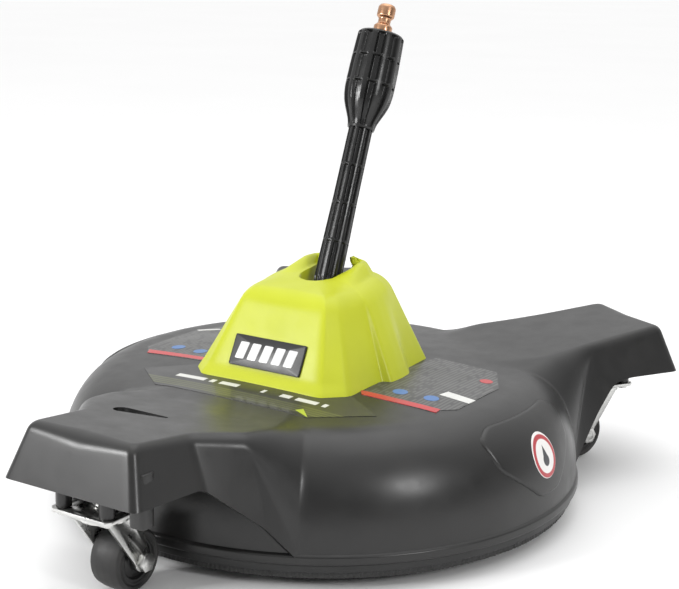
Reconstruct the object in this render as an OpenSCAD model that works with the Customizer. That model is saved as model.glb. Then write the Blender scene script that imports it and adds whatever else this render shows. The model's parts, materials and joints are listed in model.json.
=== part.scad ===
// Surface cleaner for a pressure washer: a domed spray deck on three swivel
// casters, a spinning two-nozzle bar under it, and a tilting wand on top.
// +Z is up, the origin is on the deck's axis at ground level, -Y is the front.

/* [Deck] */
// Outer radius of the deck at its bottom rim
deck_r = 170; // [168:0.5:172]
// Height of the deck's top at its centre above the ground
deck_h = 90; // [89.5:0.5:91.5]
// Height of the deck's bottom rim above the ground
rim_z = 16.5; // [16:0.5:18]
// Radius at which the flat top turns into the shoulder
shoulder_r = 128; // [120:1:134]
// Wall thickness of the moulded shell
wall = 3; // [2.5:0.1:3.5]

/* [Wings] */
// Reach of the front wing from the deck's axis
front_reach = 244; // [243:0.5:244.5]
// Reach of each rear wing from the deck's axis
rear_reach = 254.5; // [254:0.5:255.5]
// Angle of each rear wing from the rear axis
rear_angle = 33; // [32.5:0.5:33]
// Height of a wing's top at its outer end
wing_top_z = 101; // [99:0.5:103]
// Height of a wing's lower edge
wing_low_z = 69; // [67:0.5:71]

/* [Casters] */
// Radius of the swivel axes from the deck's axis
caster_r = 214; // [212:0.5:216]
// Diameter of a caster wheel
wheel_d = 38; // [37:0.5:38]
// Width of a caster wheel over its tyre
tyre_w = 22; // [20:0.5:22]
// Distance from the swivel axis to the axle
trail = 16; // [15:0.5:17]
// Height of the top of the caster's mounting plate
plate_z = 55; // [55:0.5:56]
// Side of the square mounting plate
plate_side = 43; // [41:0.5:43]

/* [Spray bar] */
// Radius at which the two nozzles turn
nozzle_r = 128; // [110:1:134]
// Height of the spray bar's centre line
bar_z = 34; // [33:0.5:35]

/* [Tower] */
// Half width of the tower at its base
tower_half_w = 58.5; // [56:0.5:60]
// Height of the tower's top at the wand slot
tower_top_z = 147; // [146:0.5:148]
// Width of the slot that the wand tilts in
slot_w = 25; // [24:0.5:28]

/* [Wand] */
// Lean of the wand to the rear when it rests
lean = 21; // [19:0.1:23]
// Height of the wand's tilt axis
pivot_z = 120; // [119.5:0.5:121]
// Distance of the tilt axis behind the deck's axis
pivot_y = -3; // [-4:0.5:-2]
// Distance from the tilt axis to the top of the grip
wand_len = 191; // [188:1:200]

/* [Hidden] */
$fn = 64;
eps = 0.01;

// --- colours
shell_grey = [0.27, 0.27, 0.28];
moulded_black = [0.07, 0.07, 0.07];
lime = [0.74, 0.80, 0.15];
zinc = [0.74, 0.74, 0.72];
brass = [0.72, 0.50, 0.26];
steel = [0.62, 0.63, 0.64];

// --- deck
shoulder_w = deck_r - shoulder_r;
top_sag = 4.5;
shoulder_z = deck_h - top_sag;
wall_z = 20;
hub_pad_r = 38;
hub_pad_top = deck_h + 0.5;
hub_pad_low = 84;
union_pcd = 60;
union_bolt_r = 2.75;
neck_r = 16;
rim_flange_r = 148;
skirt_screw_r = 153;
tower_screw_x = 45;
tower_screw_y = [-46, 28];

// The deck's outer profile, or its inner one when it is inset by t: a shallow
// dome out to the shoulder, then a quarter of a superellipse down to the rim.
function dome_points(t) = [for (i = [0:4]) let (r = (shoulder_r - t / 2) * i / 4)
    [r, deck_h - t - top_sag * pow(i / 4, 2)]];
function shoulder_points(t) = [for (i = [1:12]) let (a = 7.5 * i)
    [shoulder_r - t / 2 + (shoulder_w - t / 2) * pow(sin(a), 2 / 3),
     wall_z + (shoulder_z - t - wall_z) * pow(cos(a), 2 / 3)]];
function deck_profile(t, low) = concat(dome_points(t), shoulder_points(t),
    [[deck_r - t, low], [0, low]]);
module deck_solid(t, low) {
    rotate_extrude($fn = 120) polygon(deck_profile(t, low));
}

// --- wings
WING_ANGLES = [-90, 90 - rear_angle, 90 + rear_angle];
WING_REACH = [front_reach, rear_reach, rear_reach];

// Half of a wing's cross-section at five stations, from the dome to the end:
// [distance out at the top, half width at the top, height of the top,
//  distance out at the bottom, half width at the bottom, height of the bottom]
// The front wing flares into the dome; the rear ones run in almost straight.
function front_stations(reach) = [
    [100, 61, shoulder_z - 12, 124, 78, wall_z + 4],
    [127, 66, shoulder_z - 1.5, 148, 82, wall_z + 4],
    [165, 60, 91, 164, 74, 40],
    [190, 40, 95, 192, 51, wing_low_z],
    [reach - 11, 36, wing_top_z, reach, 46, wing_low_z]];
function rear_stations(reach) = [
    [100, 53, shoulder_z - 12, 124, 74, wall_z + 4],
    [132, 49, shoulder_z - 0.5, 152, 69, wall_z + 4],
    [164, 45, 91, 172, 61, 37],
    [196, 41, 95.5, 199, 51, wing_low_z],
    [reach - 11, 36, wing_top_z, reach, 46, wing_low_z]];
function wing_stations(i, reach) = i == 0 ? front_stations(reach) : rear_stations(reach);
// One station as a closed ring of eight points with chamfered top corners;
// g shrinks it by the wall thickness and low moves the bottom down
function wing_ring(s, g, low) = let (top = s[2] - g, bevel = 5)
    [[s[3], -s[4] + g, s[5] - low], [s[0] + bevel / 3, -s[1] - bevel / 3 + g, top - bevel],
     [s[0], -s[1] + bevel + g / 2, top], [s[0] + 1, 0, top + 0.3],
     [s[0], s[1] - bevel - g / 2, top], [s[0] + bevel / 3, s[1] + bevel / 3 - g, top - bevel],
     [s[3], s[4] - g, s[5] - low], [s[3] + 1, 0, s[5] - low]];
module loft(rings) {
    n = len(rings[0]);
    m = len(rings);
    // two triangles for each step of j round a ring and i along the loft
    near = [for (i = [0:m - 2]) for (j = [0:n - 1]) let (k = (j + 1) % n)
        [i * n + j, i * n + k, (i + 1) * n + k]];
    far = [for (i = [0:m - 2]) for (j = [0:n - 1]) let (k = (j + 1) % n)
        [i * n + j, (i + 1) * n + k, (i + 1) * n + j]];
    first = [for (j = [1:n - 2]) [0, j + 1, j]];
    last = [for (j = [1:n - 2]) [(m - 1) * n, (m - 1) * n + j, (m - 1) * n + j + 1]];
    polyhedron([for (r = rings) for (p = r) p], concat(near, far, first, last));
}
module wing_outer(i) {
    loft([for (s = wing_stations(i, WING_REACH[i])) wing_ring(s, 0, 0)]);
}
module wing_inner(i) {
    loft([for (s = wing_stations(i, WING_REACH[i] - wall)) wing_ring(s, wall, 60)]);
}
module on_wing(i) {
    rotate([0, 0, WING_ANGLES[i]]) children();
}

// --- casters
wheel_r = wheel_d / 2;
plate_t = 2;
plate_hole = 15.5;
plate_screw_r = 1.9;
crown_z = plate_z - 5.4;
crown_t = 2;
kingpin_r = 3.5;
race_r = 9.5;
ball_r = 1.5;
axle_r = 3;
leg_gap = tyre_w + 1.4;
leg_t = 1.8;
hub_r = 13;
hub_w = 21;
run = 0.05;
// Directions in which the three casters trail at rest
TRAILS = [90, -114, -60];

// --- a short post under one corner of each wing
corner_u = 223;
corner_v = 34;
corner_w = 11;

// --- hang slot in the front wing: a tapering pocket through its top
slot_u = 170;
slot_v = [-30, 5];

// --- deck labels and the raised pads on the wall
label_t = 0.3;
pad_t = 1.2;
pad_y = -3;

module place(i) {
    on_wing(i) translate([caster_r, 0, 0]) rotate([0, 0, -WING_ANGLES[i]]) children();
}
module trailing(i) {
    place(i) rotate([0, 0, TRAILS[i]]) children();
}
module tube(r_out, r_in, z0, z1) {
    translate([0, 0, z0]) difference() {
        cylinder(r = r_out, h = z1 - z0);
        translate([0, 0, -1]) cylinder(r = r_in, h = z1 - z0 + 2);
    }
}
module disc(r, z0, z1) {
    translate([0, 0, z0]) cylinder(r = r, h = z1 - z0);
}
module hexagon(across, z0, z1) {
    translate([0, 0, z0]) cylinder(d = across / cos(30), h = z1 - z0, $fn = 6);
}
// A pan-head screw pointing up: head below z0, shank from z0 to z1
module screw_up(shank, head, head_h, z0, z1) {
    disc(shank, z0 - eps, z1);
    difference() {
        disc(head, z0 - head_h, z0);
        translate([-head * 0.55, -0.5, z0 - head_h - 1]) cube([head * 1.1, 1, 1 + head_h * 0.4]);
        translate([-0.5, -head * 0.55, z0 - head_h - 1]) cube([1, head * 1.1, 1 + head_h * 0.4]);
    }
}
module at_union_bolts() {
    for (a = [45:90:315]) rotate([0, 0, a]) translate([union_pcd / 2, 0, 0]) children();
}
module at_tower_screws() {
    for (x = [-tower_screw_x, tower_screw_x]) for (y = tower_screw_y)
        translate([x, y, 0]) children();
}
module at_skirt_screws() {
    for (a = [22.5:45:337.5]) rotate([0, 0, a]) translate([skirt_screw_r, 0, 0]) children();
}
module at_plate_holes() {
    for (x = [-plate_hole, plate_hole]) for (y = [-plate_hole, plate_hole])
        translate([x, y, 0]) children();
}

// ---------------------------------------------------------------- deck
// Six-sided raised pad on the wall, as a band cut by a prism along X
module side_pad(side) {
    pad = [[-36, 82], [36, 82], [48, 76], [44, 60], [8, 34], [-8, 34], [-44, 60], [-48, 76]];
    intersection() {
        deck_solid(-pad_t, rim_z + 8);
        translate([0, pad_y, 0]) rotate([90, 0, side > 0 ? 90 : -90])
            translate([0, 0, 120]) linear_extrude(80) polygon(pad);
    }
}
module rim_bead() {
    rotate_extrude($fn = 120) polygon([[deck_r - 4, rim_z], [deck_r + 1, rim_z],
        [deck_r + 1.5, rim_z + 2], [deck_r + 1, rim_z + 4.5], [deck_r - 4, rim_z + 5.5]]);
}
module caster_bosses(i) {
    intersection() {
        on_wing(i) union() {
            translate([caster_r, 0, 0]) at_plate_holes() disc(4.5, plate_z, wing_top_z);
            translate([corner_u, corner_v, plate_z]) cube([corner_w, corner_w, wing_low_z]);
        }
        on_wing(i) union() {
            wing_outer(i);
            translate([caster_r - 30, -60, plate_z]) cube([80, 120, wing_low_z - plate_z + eps]);
        }
    }
}
module hang_slot() {
    translate([0, 0, wing_low_z + 10]) linear_extrude(60) hull() {
        translate([slot_v[0] + 5, -slot_u]) circle(5);
        translate([slot_v[1], -slot_u + 2]) circle(2);
    }
}
module deck_shell() {
    color(shell_grey) difference() {
        union() {
            deck_solid(0, rim_z);
            rim_bead();
            side_pad(1);
            side_pad(-1);
            disc(hub_pad_r, hub_pad_low, hub_pad_top);
            for (i = [0:2]) difference() {
                on_wing(i) wing_outer(i);
                difference() {
                    on_wing(i) wing_inner(i);
                    deck_solid(0, rim_z);
                    caster_bosses(i);
                }
            }
            for (i = [0:2]) caster_bosses(i);
        }
        difference() {
            deck_solid(wall, rim_z - 1);
            disc(hub_pad_r, hub_pad_low, hub_pad_top);
            tube(deck_r, rim_flange_r, rim_z, rim_z + wall);
            at_tower_screws() disc(5, hub_pad_low - 2, hub_pad_top);
        }
        disc(neck_r + 0.1, hub_pad_low - 1, hub_pad_top + 1);
        at_union_bolts() disc(union_bolt_r, hub_pad_low - 1, hub_pad_top + 1);
        at_tower_screws() disc(2.2, hub_pad_low - 4, hub_pad_top + 1);
        at_skirt_screws() disc(1.6, rim_z - 1, rim_z + wall + 1);
        for (i = [0:2]) on_wing(i) translate([caster_r, 0, 0])
            at_plate_holes() disc(plate_screw_r, plate_z - 1, plate_z + 16);
        hang_slot();
    }
}
module skirt_ring() {
    color(moulded_black) difference() {
        union() {
            tube(deck_r - 1, deck_r - 9, rim_z - 5, rim_z);
            tube(deck_r - 8, rim_flange_r, rim_z - 2.5, rim_z);
        }
        tube(deck_r - 3, deck_r - 6.5, rim_z - 6, rim_z - 1.5);
        at_skirt_screws() disc(2.1, rim_z - 4, rim_z + 1);
    }
}
module skirt_bristles() {
    color(moulded_black) tube(deck_r - 3, deck_r - 6.5, rim_z - 10, rim_z - 1.5);
}
module skirt_screws() {
    color(zinc) at_skirt_screws() screw_up(1.6, 3.2, 2.2, rim_z - 2.5, rim_z + 5);
}

// ---------------------------------------------------------------- tower
tower_wall = 2.6;
front_foot = 68.5;
rear_foot = 50;
groove_y = -20;
slot_floor = pivot_z - 1;
slot_front = -18;
cheek_z = pivot_z + 11.5;
cheek_t = 2;
foot_z = 82;
foot_top = 90;
foot_round = 0.6;
crown_round = 2;
crown_front = [-41, 142];
// The tower's faces as a hull of its foot and its crown, inset by t
module tower_mass(t) {
    w = tower_half_w - t;
    crown_x = 33 - t;
    foot = [[w - 14, -front_foot + t], [w, -57 + t * 0.6], [w, rear_foot - t]];
    crown = [[crown_x - 3, crown_front[0] + t, crown_front[1]],
        [crown_x, -32 + t, crown_front[1] + 1.5], [crown_x, 23 - t, tower_top_z]];
    hull() {
        for (s = [-1, 1]) {
            for (p = foot) translate([s * p[0], p[1], foot_z])
                cylinder(r = foot_round, h = foot_top - foot_z, $fn = 16);
            for (p = crown) translate([s * p[0], p[1], foot_z])
                cylinder(r = crown_round, h = p[2] - t - foot_z, $fn = 16);
        }
    }
}
// The rear half of each side stands proud behind the groove
module tower_flank(s) {
    foot = [[64.5, groove_y + 3], [64.5, 6], [56, 17], [40, 16]];
    crown = [[42.5, groove_y + 9, 133], [36, 6, 140]];
    hull() {
        for (p = foot) translate([s * p[0], p[1], foot_z])
            cylinder(r = foot_round, h = foot_top - foot_z, $fn = 16);
        for (p = crown) translate([s * p[0], p[1], foot_z])
            cylinder(r = foot_round, h = p[2] - foot_z, $fn = 16);
    }
}
// A rounded ridge beside the slot that rises to the rear
hump_r = 8;
hump_z = tower_top_z - 0.6;
module tower_hump(s) {
    hull() {
        translate([s * (slot_w / 2 + hump_r), 15, hump_z]) sphere(hump_r, $fn = 32);
        translate([s * (slot_w / 2 + hump_r), -22, hump_z - 6]) sphere(hump_r - 1, $fn = 32);
    }
}
module wand_slot(half, floor_z) {
    translate([0, slot_front + slot_w / 2, 0]) disc(half, floor_z, floor_z + 60);
    translate([-half, slot_front + slot_w / 2, floor_z]) cube([half * 2, 60, 60]);
}
module tower_cover() {
    color(lime) difference() {
        union() {
            difference() {
                union() {
                    tower_mass(0);
                    for (s = [-1, 1]) tower_flank(s);
                    for (s = [-1, 1]) tower_hump(s);
                }
                tower_mass(tower_wall);
            }
            intersection() {
                tower_mass(0);
                wand_slot(slot_w / 2 + cheek_t, cheek_z);
            }
            at_tower_screws() disc(4, foot_z, 106);
            for (s = [-1, 1]) for (y = tower_screw_y)
                translate([s * (tower_screw_x + 4) - 4, y - 1, foot_z]) cube([8, 2, 18]);
        }
        wand_slot(slot_w / 2, slot_floor);
        deck_solid(-0.02, rim_z);
        at_tower_screws() disc(1.6, foot_z - 1, 103);
    }
}
module tower_screws() {
    color(zinc) at_tower_screws() screw_up(1.6, 3.6, 2.4, hub_pad_low - 2, 100);
}
face_foot_y = -front_foot - foot_round;
face_slope = (crown_front[0] - crown_round - face_foot_y) / (crown_front[1] - foot_top);
badge_low = 98;
module badge_plate() {
    color(moulded_black)
        translate([0, face_foot_y + face_slope * (badge_low - foot_top), badge_low])
        rotate([-atan(face_slope), 0, 0])
        translate([-27, -1.25, 0]) cube([54, 1.2, 20]);
}

// ---------------------------------------------------------------- labels
// A label is a thin skin on the deck's top, cut to an outline
module label_skin(outline) {
    intersection() {
        difference() {
            deck_solid(-label_t, rim_z);
            deck_solid(-0.02, rim_z - 1);
        }
        translate([0, 0, deck_h - 10]) linear_extrude(20) polygon(outline);
    }
}
module label_front() {
    color(moulded_black) label_skin([[-88, -77], [-58, -102], [58, -102], [89, -75],
        [62, -57], [45.5, -72.5], [-45.5, -72.5], [-62, -57]]);
}
SIDE_LABEL = [[63, -48], [109, -48], [121, -33], [121, 21], [104, 52], [61.5, 52],
    [60.5, 20], [67.5, 8], [67.5, -18], [61, -24]];
module side_labels() {
    color("gray") for (s = [-1, 1])
        label_skin([for (p = SIDE_LABEL) [s * p[0], p[1]]]);
}
module round_stickers() {
    color("firebrick") for (s = [-1, 1]) intersection() {
        difference() {
            deck_solid(-pad_t - label_t, rim_z + 8);
            deck_solid(-pad_t - 0.02, rim_z + 7);
        }
        translate([s * 140, pad_y, 57]) rotate([0, s * 90, 0]) cylinder(r = 13, h = 40);
    }
}

// ---------------------------------------------------------------- rotary union
bearing_r = 14;
shaft_r = 6;
seal_r = 10;
body_low = 45;
bearing_low = 47.6;
bearing_h = 8;
spacer_top = 65;
neck_top = 97;
module union_housing() {
    color(brass) difference() {
        union() {
            disc(20, body_low, hub_pad_low - 5);
            disc(37, hub_pad_low - 6, hub_pad_low);
            disc(neck_r, hub_pad_low - eps, neck_top);
        }
        disc(bearing_r, body_low - 1, spacer_top + bearing_h);
        disc(bearing_r + 0.9, body_low + 1.2, bearing_low);
        disc(seal_r, body_low, spacer_top + bearing_h + 8);
        disc(4, body_low, neck_top + 1);
        at_union_bolts() disc(union_bolt_r, hub_pad_low - 8, hub_pad_low + 1);
    }
}
module union_bolts() {
    color(zinc) at_union_bolts() {
        hexagon(8, hub_pad_low - 10, hub_pad_low - 6);
        disc(2.5, hub_pad_low - 6 - eps, hub_pad_top + 5.5);
    }
}
module union_nuts() {
    color(zinc) at_union_bolts() difference() {
        hexagon(8, hub_pad_top, hub_pad_top + 4);
        disc(2.5, hub_pad_top - 1, hub_pad_top + 5);
    }
}
module bearing(z0) {
    tube(bearing_r, bearing_r - 2.5, z0, z0 + bearing_h);
    tube(shaft_r + 2.5, shaft_r + run, z0, z0 + bearing_h);
    tube(bearing_r - 2.5, shaft_r + 2.5, z0 + 0.8, z0 + bearing_h - 0.8);
}
module upper_bearing() {
    color(steel) bearing(spacer_top);
}
module lower_bearing() {
    color(steel) bearing(bearing_low);
}
module bearing_spacer() {
    color(steel) tube(bearing_r, bearing_r - 2.5, bearing_low + bearing_h, spacer_top);
}
module bearing_circlip() {
    color(steel) difference() {
        tube(bearing_r + 0.9, bearing_r - 2.2, body_low + 1.2, bearing_low);
        translate([0, -2.5, body_low]) cube([20, 5, 4]);
    }
}
module shaft_seal() {
    color(moulded_black) {
        tube(seal_r, seal_r - 1.5, spacer_top + bearing_h, spacer_top + bearing_h + 7);
        tube(seal_r, shaft_r + run, spacer_top + bearing_h + 2.5, spacer_top + bearing_h + 5);
    }
}
module deck_nut() {
    color(brass) difference() {
        hexagon(40, hub_pad_top, neck_top - 0.5);
        disc(neck_r, hub_pad_top - 1, neck_top + 1);
    }
}

// ---------------------------------------------------------------- spinning bar
hub_low = bar_z - 8;
hub_high = bar_z + 8;
hub_out = 13;
arm_r = 5;
arm_end = nozzle_r - 7;
module rotor_shaft() {
    color(steel) difference() {
        union() {
            disc(shaft_r, hub_high, spacer_top + bearing_h + 6.5);
            disc(8.3, hub_high, body_low + 1);
            disc(4.5, hub_low - 7.5, hub_high);
        }
        disc(2.5, bar_z - 2, spacer_top + bearing_h + 7);
        translate([-6, 0, bar_z]) rotate([0, 90, 0]) cylinder(r = 2, h = 12);
    }
}
module bar_hub() {
    color(brass) difference() {
        disc(hub_out, hub_low, hub_high);
        disc(4.5, hub_low - 1, hub_high + 1);
        translate([-20, 0, bar_z]) rotate([0, 90, 0]) cylinder(r = 3, h = 40);
        for (s = [-1, 1]) translate([s * 7, 0, bar_z]) rotate([0, s * 90, 0])
            cylinder(r = arm_r, h = 20);
    }
}
module hub_nut() {
    color(zinc) difference() {
        hexagon(13, hub_low - 6, hub_low);
        disc(4.5, hub_low - 7, hub_low + 1);
    }
}
module spray_arms() {
    color(steel) for (s = [-1, 1]) rotate([0, s * 90, 0]) translate([-s * bar_z, 0, 7])
        difference() {
            cylinder(r = arm_r, h = arm_end - 3);
            translate([0, 0, -1]) cylinder(r = arm_r - 2, h = arm_end);
        }
}
module arm_nuts() {
    color(brass) for (s = [-1, 1]) rotate([0, s * 90, 0]) translate([-s * bar_z, 0, 0])
        difference() {
            hexagon(14, hub_out + 0.5, hub_out + 9);
            disc(arm_r, hub_out - 1, hub_out + 10);
        }
}
// Each nozzle body leans so that its jet drives the bar round
jet_lean = 25;
module nozzle_bodies() {
    color(brass) for (s = [-1, 1]) translate([s * nozzle_r, 0, bar_z])
        rotate([s * jet_lean, 0, 0]) difference() {
            union() {
                translate([-7, -7, -7]) cube([14, 14, 14]);
                disc(5.5, -11, -7 + eps);
            }
            translate([-s * 8, 0, 0]) rotate([0, s * 90, 0]) cylinder(r = arm_r, h = 5);
            translate([-s * 8, 0, 0]) rotate([0, s * 90, 0]) cylinder(r = 2.5, h = 9);
            disc(3.2, -12, -3);
            disc(2, -4, 1);
        }
}
module nozzle_tips() {
    color(steel) for (s = [-1, 1]) translate([s * nozzle_r, 0, bar_z])
        rotate([s * jet_lean, 0, 0]) difference() {
            disc(3.2, -14, -5);
            disc(0.6, -15, -4);
            translate([-5, -0.6, -15]) cube([10, 1.2, 1.8]);
        }
}

// ---------------------------------------------------------------- tilt joint
ear_in = 10;
ear_out = 16;
eye_r = 10;
pin_r = 5;
yoke_base_top = 106;
module along_x(x0, x1, r) {
    translate([x0, pivot_y, pivot_z]) rotate([0, 90, 0]) cylinder(r = r, h = x1 - x0);
}
module pivot_yoke() {
    color(brass) difference() {
        union() {
            disc(ear_out, neck_top, yoke_base_top);
            for (s = [-1, 1]) intersection() {
                union() {
                    along_x(s > 0 ? ear_in : -ear_out, s > 0 ? ear_out : -ear_in, eye_r);
                    translate([s > 0 ? ear_in : -ear_out, pivot_y - eye_r, neck_top + 1])
                        cube([ear_out - ear_in, 2 * eye_r, pivot_z - neck_top - 1]);
                }
                disc(40, 0, 200);
            }
        }
        along_x(-ear_out - 1, ear_out + 1, pin_r);
        disc(3, neck_top - 1, 103);
        translate([0, 0, 101.5]) rotate([0, 90, 0]) cylinder(r = 1.5, h = 13);
        translate([13, pivot_y, 100]) cylinder(r = 1.5, h = pivot_z - 102);
        translate([13, pivot_y, 101.5]) rotate([-90, 0, 0]) cylinder(r = 1.5, h = -pivot_y + 1);
    }
}
module trunnion_bolt() {
    color(zinc) union() {
        along_x(-ear_out - 3.5, ear_out, pin_r);
        translate([ear_out - eps, pivot_y, pivot_z]) rotate([0, 90, 0])
            cylinder(d = 13 / cos(30), h = 4.5, $fn = 6);
    }
}
module trunnion_nut() {
    color(zinc) difference() {
        translate([-ear_out, pivot_y, pivot_z]) rotate([0, -90, 0])
            cylinder(d = 13 / cos(30), h = 5, $fn = 6);
        along_x(-ear_out - 6, -ear_out + 1, pin_r);
    }
}
module wand_frame() {
    translate([0, pivot_y, pivot_z]) rotate([-lean, 0, 0]) children();
}
sleeve_low = 19;
neck_s = 126;
tube_r = 6;
module wand_eye() {
    color(brass) difference() {
        union() {
            along_x(-ear_in + 0.3, ear_in - 0.3, eye_r);
            wand_frame() disc(7.5, 0, sleeve_low - 0.5);
            wand_frame() disc(tube_r - 1.5, 0, sleeve_low + 8);
        }
        along_x(-ear_in, ear_in, pin_r + run);
        for (s = [-1, 1]) along_x(s * 6 - 1.2, s * 6 + 1.2, pin_r + 1.6);
        wand_frame() disc(2.5, 0, sleeve_low + 9);
    }
}
module eye_o_rings() {
    color(moulded_black) for (s = [-1, 1]) difference() {
        along_x(s * 6 - 1.1, s * 6 + 1.1, pin_r + 1.5);
        along_x(s * 6 - 2, s * 6 + 2, pin_r + run);
    }
}
module lance_tube() {
    color(steel) wand_frame() tube(tube_r, tube_r - 1.5, sleeve_low, wand_len + 1);
}
// Rings along the sleeve, as distances from the tilt axis
RING_S = [49.5, 75, 101];
module wand_sleeve() {
    color(moulded_black) wand_frame() difference() {
        union() {
            rotate_extrude() polygon([[0, sleeve_low], [8.6, sleeve_low], [9, 24], [8.4, 70],
                [7.9, neck_s], [0, neck_s]]);
            for (s = RING_S) disc(9, s - 1, s + 1);
        }
        disc(tube_r, sleeve_low - 1, neck_s + 1);
        for (i = [0:11]) rotate([0, 0, 30 * i]) translate([9.4, 0, sleeve_low + 6])
            cylinder(r = 1.3, h = 33);
    }
}
module wand_grip() {
    color(moulded_black) wand_frame() difference() {
        rotate_extrude() polygon([[0, neck_s], [8.7, neck_s], [9, neck_s + 3], [12, neck_s + 12],
            [15.2, neck_s + 20], [16.4, neck_s + 28], [16.4, wand_len - 12], [15.6, wand_len - 1],
            [14.6, wand_len], [0, wand_len]]);
        disc(tube_r, neck_s - 1, wand_len + 1);
        for (i = [0:11]) rotate([0, 0, 30 * i]) translate([18, 0, neck_s + 31])
            cylinder(r = 3, h = wand_len - neck_s - 33);
    }
}
plug_r = 5.95;
module inlet_plug() {
    color(brass) wand_frame() difference() {
        union() {
            translate([0, 0, wand_len + 1]) rotate_extrude() polygon([[0, 0], [6.3, 0], [6.3, 5],
                [4.2, 7], [4.2, 10], [plug_r, 11.5], [plug_r, 17.5], [4.6, 19.5], [0, 19.5]]);
            disc(tube_r - 1.5, wand_len - 12, wand_len + 2);
        }
        disc(2.5, wand_len - 13, wand_len + 30);
    }
}

// ---------------------------------------------------------------- casters
module caster_screws() {
    color(zinc) for (i = [0:2]) on_wing(i) translate([caster_r, 0, 0])
        at_plate_holes() screw_up(plate_screw_r, 3.6, 2, plate_z - plate_t, plate_z + 14);
}
module caster_plate(i) {
    color(zinc) on_wing(i) translate([caster_r, 0, 0]) difference() {
        union() {
            translate([-plate_side / 2, -plate_side / 2, plate_z - plate_t])
                cube([plate_side, plate_side, plate_t]);
            tube(race_r + 4, race_r + 2.3, crown_z + 1, plate_z - plate_t + eps);
        }
        disc(kingpin_r, 0, plate_z + 1);
        at_plate_holes() disc(plate_screw_r + 0.3, plate_z - plate_t - 1, plate_z + 1);
        for (a = [45:90:315]) rotate([0, 0, a]) translate([plate_side * 0.707 - 2, -15, 40])
            cube([20, 30, 20]);
    }
}
module kingpin(i) {
    color(zinc) place(i) {
        disc(kingpin_r, crown_z - crown_t - 1.4, plate_z + 1);
        disc(6, crown_z - crown_t - 2.4, crown_z - crown_t - 0.4);
        translate([0, 0, plate_z]) intersection() {
            sphere(6.6);
            disc(8, 0, 4);
        }
    }
}
module balls(i) {
    color(steel) trailing(i) for (a = [0:45:315]) rotate([0, 0, a])
        translate([race_r, 0, crown_z + ball_r]) sphere(ball_r, $fn = 24);
}
module fork(i) {
    leg = [[-13, crown_z], [13, crown_z], [trail + 5.5, wheel_r + 2], [trail, wheel_r],
        [trail - 5.8, wheel_r - 1]];
    color(zinc) trailing(i) difference() {
        union() {
            disc(14.5, crown_z - crown_t, crown_z);
            translate([-13, -leg_gap / 2 - leg_t, crown_z - crown_t])
                cube([26, leg_gap + 2 * leg_t, crown_t]);
            for (s = [-1, 1]) translate([0, s * (leg_gap + leg_t) / 2 + leg_t / 2, 0])
                rotate([90, 0, 0]) {
                    linear_extrude(leg_t) polygon(leg);
                    translate([trail, wheel_r, 0]) cylinder(r = 6, h = leg_t);
                }
        }
        disc(kingpin_r + run, 0, 60);
        translate([trail, 30, wheel_r]) rotate([90, 0, 0]) cylinder(r = axle_r, h = 60);
    }
}
module on_axle(i) {
    trailing(i) translate([trail, 0, wheel_r]) rotate([90, 0, 0]) children();
}
module axle_bolt(i) {
    half = leg_gap / 2 + leg_t;
    color(zinc) on_axle(i) {
        disc(axle_r, -half - 5, half);
        hexagon(10, half, half + 4);
    }
}
module axle_nut(i) {
    half = leg_gap / 2 + leg_t;
    color(zinc) on_axle(i) difference() {
        union() {
            disc(5.8, -half - 1, -half);
            hexagon(10, -half - 5, -half - 1 + eps);
        }
        disc(axle_r, -half - 6, half);
    }
}
module wheel_hub(i) {
    color(moulded_black) on_axle(i) difference() {
        union() {
            disc(hub_r, -hub_w / 2 + 2, hub_w / 2 - 2);
            disc(6, -tyre_w / 2 - 0.3, tyre_w / 2 + 0.3);
        }
        disc(axle_r + run, -20, 20);
    }
}
module tyre(i) {
    h = tyre_w / 2;
    color(moulded_black) on_axle(i) rotate_extrude($fn = 96)
        polygon([[hub_r, -h + 1], [wheel_r - 4.5, -h], [wheel_r - 1.6, -h + 2.5],
            [wheel_r - 0.4, -h + 6], [wheel_r, 0], [wheel_r - 0.4, h - 6],
            [wheel_r - 1.6, h - 2.5], [wheel_r - 4.5, h], [hub_r, h - 1]]);
}

deck_shell();
skirt_ring();
skirt_bristles();
skirt_screws();
tower_cover();
tower_screws();
badge_plate();
label_front();
side_labels();
round_stickers();
union_housing();
union_bolts();
union_nuts();
upper_bearing();
bearing_spacer();
lower_bearing();
bearing_circlip();
shaft_seal();
deck_nut();
pivot_yoke();
trunnion_bolt();
trunnion_nut();
rotor_shaft();
bar_hub();
hub_nut();
spray_arms();
arm_nuts();
nozzle_bodies();
nozzle_tips();
wand_eye();
eye_o_rings();
lance_tube();
wand_sleeve();
wand_grip();
inlet_plug();
caster_screws();
caster_plate(0);  // plate_front
kingpin(0);  // kingpin_front
balls(0);  // balls_front
fork(0);  // fork_front
axle_bolt(0);  // axle_bolt_front
axle_nut(0);  // axle_nut_front
wheel_hub(0);  // hub_front
tyre(0);  // tyre_front
caster_plate(1);  // plate_right
kingpin(1);  // kingpin_right
balls(1);  // balls_right
fork(1);  // fork_right
axle_bolt(1);  // axle_bolt_right
axle_nut(1);  // axle_nut_right
wheel_hub(1);  // hub_right
tyre(1);  // tyre_right
caster_plate(2);  // plate_left
kingpin(2);  // kingpin_left
balls(2);  // balls_left
fork(2);  // fork_left
axle_bolt(2);  // axle_bolt_left
axle_nut(2);  // axle_nut_left
wheel_hub(2);  // hub_left
tyre(2);  // tyre_left
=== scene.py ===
"""Looks of a pressure washer's surface cleaner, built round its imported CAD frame.

Sizes are in millimetres in the row frame: +Z up, -Y the front, the origin on the
deck's axis at ground level. Meshes are scaled to metres when they are made.
"""

import json
import math

import bmesh
import bpy
import numpy as np
from mathutils import Matrix, Vector


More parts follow.
